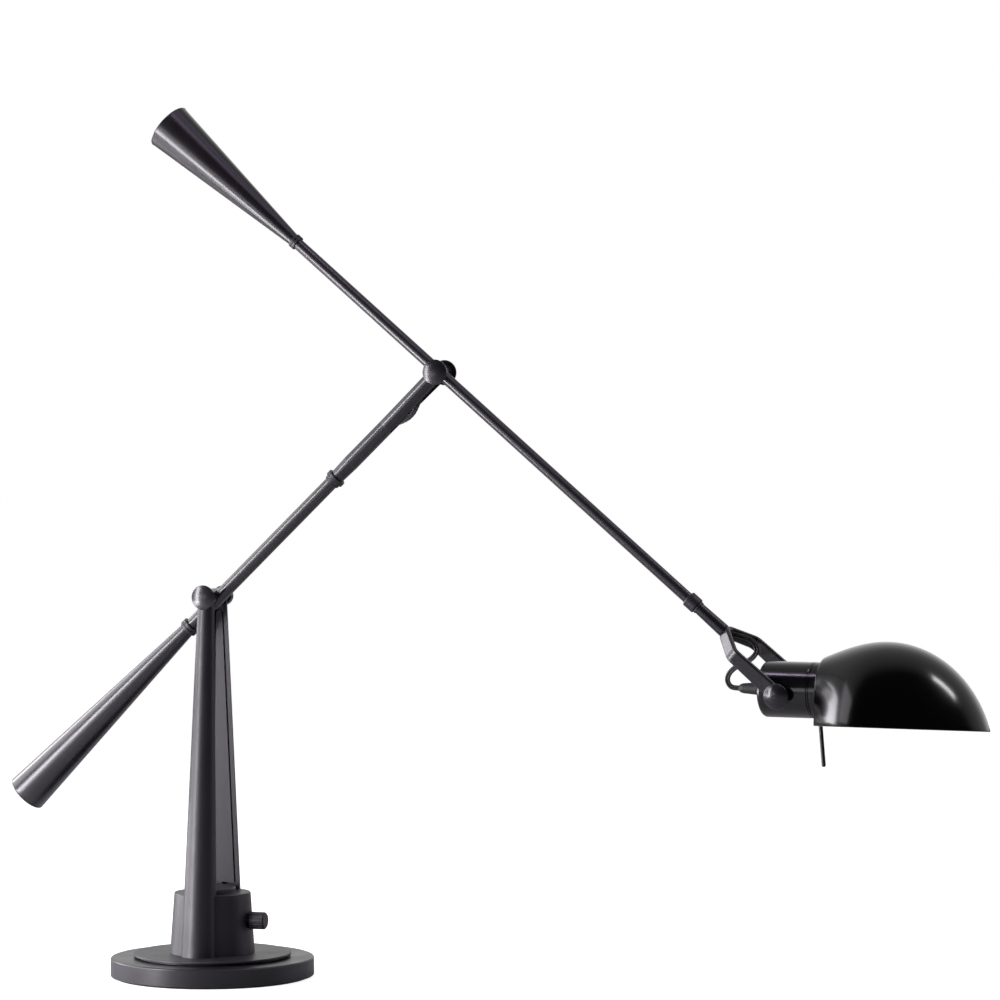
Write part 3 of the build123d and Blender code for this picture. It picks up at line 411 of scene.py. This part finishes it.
# Leads: a smooth line drawn by each route's control points, then the strands along it.
BRAID_CORE = 2.05 * MM
BRAID_PITCH = 15.0 * MM
BRAID_STEPS = 40
CORE_SIDES = 16
THREADS = 8
THREAD = 0.5 * MM
THREAD_LIFT = 0.06 * MM
THREAD_SIDES = 6
WEAVE_DEPTH = 0.16 * MM
TWIN_CORE = 1.38 * MM
TWIN_OFFSET = 1.22 * MM
TWIN_STEPS = 24
TWIN_SIDES = 14

# Routes in millimetres: out from the arm's axis, then along it.
ELBOW_ROUTE = [
    (0.0, 242.0),
    (1.6, 255.0),
    (7.6, 265.5),
    (10.6, 277.0),
    (7.4, 288.0),
    (2.4, 298.0),
    (0.3, 308.5),
    (0.6, 319.2),
]
HEAD_ROUTE = [
    (0.0, -87.0),
    (1.4, -78.0),
    (7.6, -68.5),
    (12.8, -57.0),
    (9.0, -46.5),
    (-2.5, -46.0),
    (-14.0, -51.0),
    (-22.5, -54.2),
    (-30.2, -54.5),
    (-35.7, -52.1),
    (-38.2, -47.5),
    (-37.8, -42.8),
    (-33.1, -37.55),
]


def smooth_line(name, controls, steps):
    """Points read off a NURBS line with these control points, a number of steps to each."""
    curve = bpy.data.curves.new(name, "CURVE")
    curve.dimensions = "3D"
    spline = curve.splines.new("NURBS")
    spline.points.add(len(controls) - 1)
    for point, place in zip(spline.points, controls):
        point.co = (*place, 1)
    spline.order_u = 3
    spline.use_endpoint_u = True
    spline.resolution_u = steps
    holder = bpy.data.objects.new(name, curve)
    bpy.context.scene.collection.objects.link(holder)
    bpy.context.view_layer.update()
    graph = bpy.context.evaluated_depsgraph_get()
    line = bpy.data.meshes.new_from_object(holder.evaluated_get(graph))
    points = [vertex.co.copy() for vertex in line.vertices]
    bpy.data.objects.remove(holder)
    return points


def carried_frames(path, first_side):
    """A side and a top direction at each point of a path, carried along it without twist."""
    frames = []
    side = first_side
    for index, point in enumerate(path):
        ahead = path[min(index + 1, len(path) - 1)]
        behind = path[max(index - 1, 0)]
        way = (ahead - behind).normalized()
        side = (side - way * side.dot(way)).normalized()
        frames.append((side.copy(), way.cross(side)))
    return frames


def strand(points, faces, line, frames, radius, around):
    """Adds a closed round strand along a line of points, with a number of sides around it."""
    first = len(points)
    for place, (side, top) in zip(line, frames):
        for step in range(around):
            angle = 2 * math.pi * step / around
            points.append(place + side * (radius * math.cos(angle)) + top * (radius * math.sin(angle)))
    rows = len(line)
    for row in range(rows - 1):
        for step in range(around):
            a = first + row * around + step
            b = first + row * around + (step + 1) % around
            faces.append((a, b, b + around, a + around))
    faces.append(tuple(first + step for step in reversed(range(around))))
    faces.append(tuple(first + (rows - 1) * around + step for step in range(around)))


def make_elbow_lead():
    """The braided lead: a core and two sets of threads that cross over and under each other."""
    controls = [LOWER_FOOT + LOWER_RADIAL * (x * MM) + LOWER_WAY * (y * MM) for x, y in ELBOW_ROUTE]
    path = smooth_line("elbow_lead_line", controls, BRAID_STEPS)
    frames = carried_frames(path, Vector((0, 1, 0)))
    points, faces = [], []
    strand(points, faces, path, frames, BRAID_CORE, CORE_SIDES)
    for hand in (-1, 1):
        for number in range(THREADS):
            line = []
            travelled = 0.0
            for index, (place, (side, top)) in enumerate(zip(path, frames)):
                if index:
                    travelled += (place - path[index - 1]).length
                turns = travelled / BRAID_PITCH
                phase = 2 * math.pi * (number / THREADS + hand * turns)
                weave = math.cos(2 * math.pi * THREADS * turns + math.pi * number)
                lift = BRAID_CORE + THREAD_LIFT + hand * WEAVE_DEPTH * weave
                line.append(place + side * (lift * math.cos(phase)) + top * (lift * math.sin(phase)))
            strand(points, faces, line, carried_frames(line, Vector((0, 1, 0))), THREAD, THREAD_SIDES)
    lead = mesh_piece("elbow_braided_lead", points, faces, "braid")
    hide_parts("elbow_lead")
    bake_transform(lead)
    return lead


def make_head_lead():
    """The two-core lead: two round cores side by side in one sleeve with a waist."""
    controls = [HEAD + YOKE_NORMAL * (x * MM) + UPPER_WAY * (y * MM) for x, y in HEAD_ROUTE]
    path = smooth_line("head_lead_line", controls, TWIN_STEPS)
    frames = carried_frames(path, YOKE_NORMAL)
    points, faces = [], []
    for hand in (-1, 1):
        line = [place + side * (hand * TWIN_OFFSET) for place, (side, top) in zip(path, frames)]
        strand(points, faces, line, frames, TWIN_CORE, TWIN_SIDES)
    lead = mesh_piece("head_twin_lead", points, faces, "rubber")
    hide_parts("head_lead")
    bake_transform(lead)
    return lead


make_elbow_lead()
make_head_lead()


# Stage, light and camera ------------------------------------------------------------------
FLOOR_RADIUS = 40.0
FLOOR_SIDES = 96
FLOOR_BOUNCE = 0.5
FLOOR_TONE = 0.6
FLOOR_GLOW = 0.86
# The room's light: how far behind the object a direction points, from -1 to 1, and its strength there.
ROOM = ((-0.15, 0.02), (0.1, 0.25), (0.6, 0.42), (0.93, 1.0))
ROOM_SEEN = 1.0
CAMERA_TURN = math.radians(17.785)
CAMERA_PLACE = Vector((1466.4, -3629.4, 536.4)) * MM
# The camera's sensor width and lens are in millimetres, and its shift is a share of the frame.
SENSOR = 36.0
LENS = 140.4
LENS_SHIFT = -0.06
FAR_CLIP = 200.0
CAMERA_RIGHT = Vector((math.cos(CAMERA_TURN), math.sin(CAMERA_TURN), 0))
CAMERA_BACK = Vector((math.sin(CAMERA_TURN), -math.cos(CAMERA_TURN), 0))


def make_floor():
    """A pale floor that shows white to the camera and lights the object only a little."""
    floor = bpy.data.meshes.new("floor")
    edit = bmesh.new()
    bmesh.ops.create_circle(edit, cap_ends=True, radius=FLOOR_RADIUS, segments=FLOOR_SIDES)
    edit.to_mesh(floor)
    edit.free()
    look = Shader("floor")
    seen = look.tree.nodes.new("ShaderNodeLightPath").outputs["Is Camera Ray"]
    glow = look.add("ShaderNodeMath", Value=seen)
    glow.operation = "MULTIPLY"
    glow.inputs[1].default_value = FLOOR_GLOW
    look.set(
        Base_Color=look.colours(seen, (0.0, (FLOOR_BOUNCE,) * 3), (1.0, (FLOOR_TONE,) * 3)),
        Emission_Color=(1, 1, 1, 1),
        Emission_Strength=glow.outputs[0],
        Roughness=0.9,
        Specular_IOR_Level=0.0,
    )
    look.material.cycles.emission_sampling = "NONE"
    floor.materials.append(look.material)
    piece = bpy.data.objects.new("floor", floor)
    bpy.context.scene.collection.objects.link(piece)


def make_world():
    """A room that is white to the camera, bright behind the object and dark in front of it."""
    world = bpy.data.worlds.new("studio")
    bpy.context.scene.world = world
    world.use_nodes = True
    nodes, links = world.node_tree.nodes, world.node_tree.links
    background = nodes["Background"]
    place = nodes.new("ShaderNodeTexCoord")
    behind = nodes.new("ShaderNodeVectorMath")
    behind.operation = "DOT_PRODUCT"
    behind.inputs[1].default_value = -CAMERA_BACK
    depth = nodes.new("ShaderNodeMapRange")
    depth.inputs["From Min"].default_value = -1.0
    depth.inputs["From Max"].default_value = 1.0
    ramp = nodes.new("ShaderNodeValToRGB")
    stops = ramp.color_ramp.elements
    while len(stops) < len(ROOM):
        stops.new(0.5)
    for stop, (where, light) in zip(stops, ROOM):
        stop.position = (where + 1) / 2
        stop.color = (light, light, light, 1)
    seen = nodes.new("ShaderNodeLightPath")
    mix = nodes.new("ShaderNodeMix")
    links.new(place.outputs["Generated"], behind.inputs[0])
    links.new(behind.outputs["Value"], depth.inputs["Value"])
    links.new(depth.outputs["Result"], ramp.inputs["Fac"])
    links.new(seen.outputs["Is Camera Ray"], mix.inputs["Factor"])
    links.new(ramp.outputs["Color"], mix.inputs["A"])
    mix.inputs["B"].default_value = ROOM_SEEN
    links.new(mix.outputs["Result"], background.inputs["Strength"])
    background.inputs["Color"].default_value = (1, 1, 1, 1)


def softbox(name, target, left, rise, away, size, radiance, tint=(1, 1, 1), skips=()):
    """A rectangular light aimed at a target, so many degrees left of the camera and up, that skips
    some pieces."""
    turn, lift = math.radians(left), math.radians(rise)
    level = CAMERA_BACK * math.cos(turn) - CAMERA_RIGHT * math.sin(turn)
    way = level * math.cos(lift) + Vector((0, 0, 1)) * math.sin(lift)
    data = bpy.data.lights.new(name, "AREA")
    data.shape = "RECTANGLE"
    data.size, data.size_y = size
    data.energy = radiance * math.pi * size[0] * size[1]
    data.color = tint
    light = bpy.data.objects.new(name, data)
    light.location = Vector(target) + way * away
    light.rotation_euler = way.to_track_quat("Z", "Y").to_euler()
    light.visible_camera = False
    bpy.context.scene.collection.objects.link(light)
    if skips:
        lit = bpy.data.collections.new(name + "_lit")
        light.light_linking.receiver_collection = lit
        for piece in skips:
            lit.objects.link(piece)
            lit.collection_objects[-1].light_linking.link_state = "EXCLUDE"


def make_camera():
    """A level camera with a long lens, shifted so that the horizon lies above the frame's middle."""
    data = bpy.data.cameras.new("camera")
    data.sensor_width = SENSOR
    data.lens = LENS
    data.shift_y = LENS_SHIFT
    data.clip_end = FAR_CLIP
    camera = bpy.data.objects.new("camera", data)
    camera.location = CAMERA_PLACE
    camera.rotation_euler = (math.pi / 2, 0, CAMERA_TURN)
    bpy.context.scene.collection.objects.link(camera)
    bpy.context.scene.camera = camera


def make_lights():
    """Softboxes placed where the photograph's streaks reflect. The room's own light does the rest."""
    middle = (0.2, 0.0, 0.4)
    lower_tube = (0.1, 0.0, 0.4)
    lower_weight = (-0.05, 0.0, 0.4)
    column = (0.0, 0.0, 0.4)
    upper_weight = (-0.06, 0.0, 0.8)
    weight_neck = (-0.05, 0.0, 0.75)
    elbow = (0.1, 0.0, 0.7)
    upper_tube = (0.39, 0.0, 0.475)
    housing = (0.6, 0.0, 0.3)
    dome = (0.65, 0.0, 0.3)
    dome_top = (0.65, 0.0, 0.35)
    cool = (0.97, 0.94, 1.0)
    lavender = (0.85, 0.72, 1.0)
    skips = [shade]
    softbox("left_wall", lower_tube, 108, 8, 1.6, (1.5, 1.5), 2.7, cool, skips)
    softbox("low_wall", upper_weight, 108, -29, 1.6, (1.0, 0.45), 9.0, cool, skips)
    softbox("left_rear", dome, 124, 12, 3.0, (0.8, 0.9), 7.0, cool)
    softbox("left_side", dome, 98, 24, 3.0, (1.1, 1.2), 1.3, cool)
    softbox("left_front", lower_weight, 57, 4, 1.1, (0.24, 1.2), 22.0, cool, skips)
    softbox("left_fill", column, 45, 0, 2.0, (1.5, 0.5), 1.8, cool, skips)
    softbox("low_front", upper_tube, 80, -21, 1.2, (0.45, 0.3), 14.0, cool, skips)
    softbox("high_left", housing, 82, 60, 2.5, (1.0, 0.12), 14.0, lavender, skips)
    softbox("right_strip", dome_top, -88, 50, 3.0, (0.35, 1.1), 12.0)
    softbox("high_right", weight_neck, -28, 61, 2.5, (0.08, 0.35), 45.0, lavender, skips)
    softbox("top_fill", elbow, -50, 62, 2.5, (2.2, 1.4), 0.8, lavender, skips)
    softbox("right_edge", middle, -100, 5, 3.2, (0.5, 1.6), 2.5, lavender, skips)


make_floor()
make_world()
make_lights()
make_camera()
bpy.context.scene.view_settings.view_transform = "Standard"
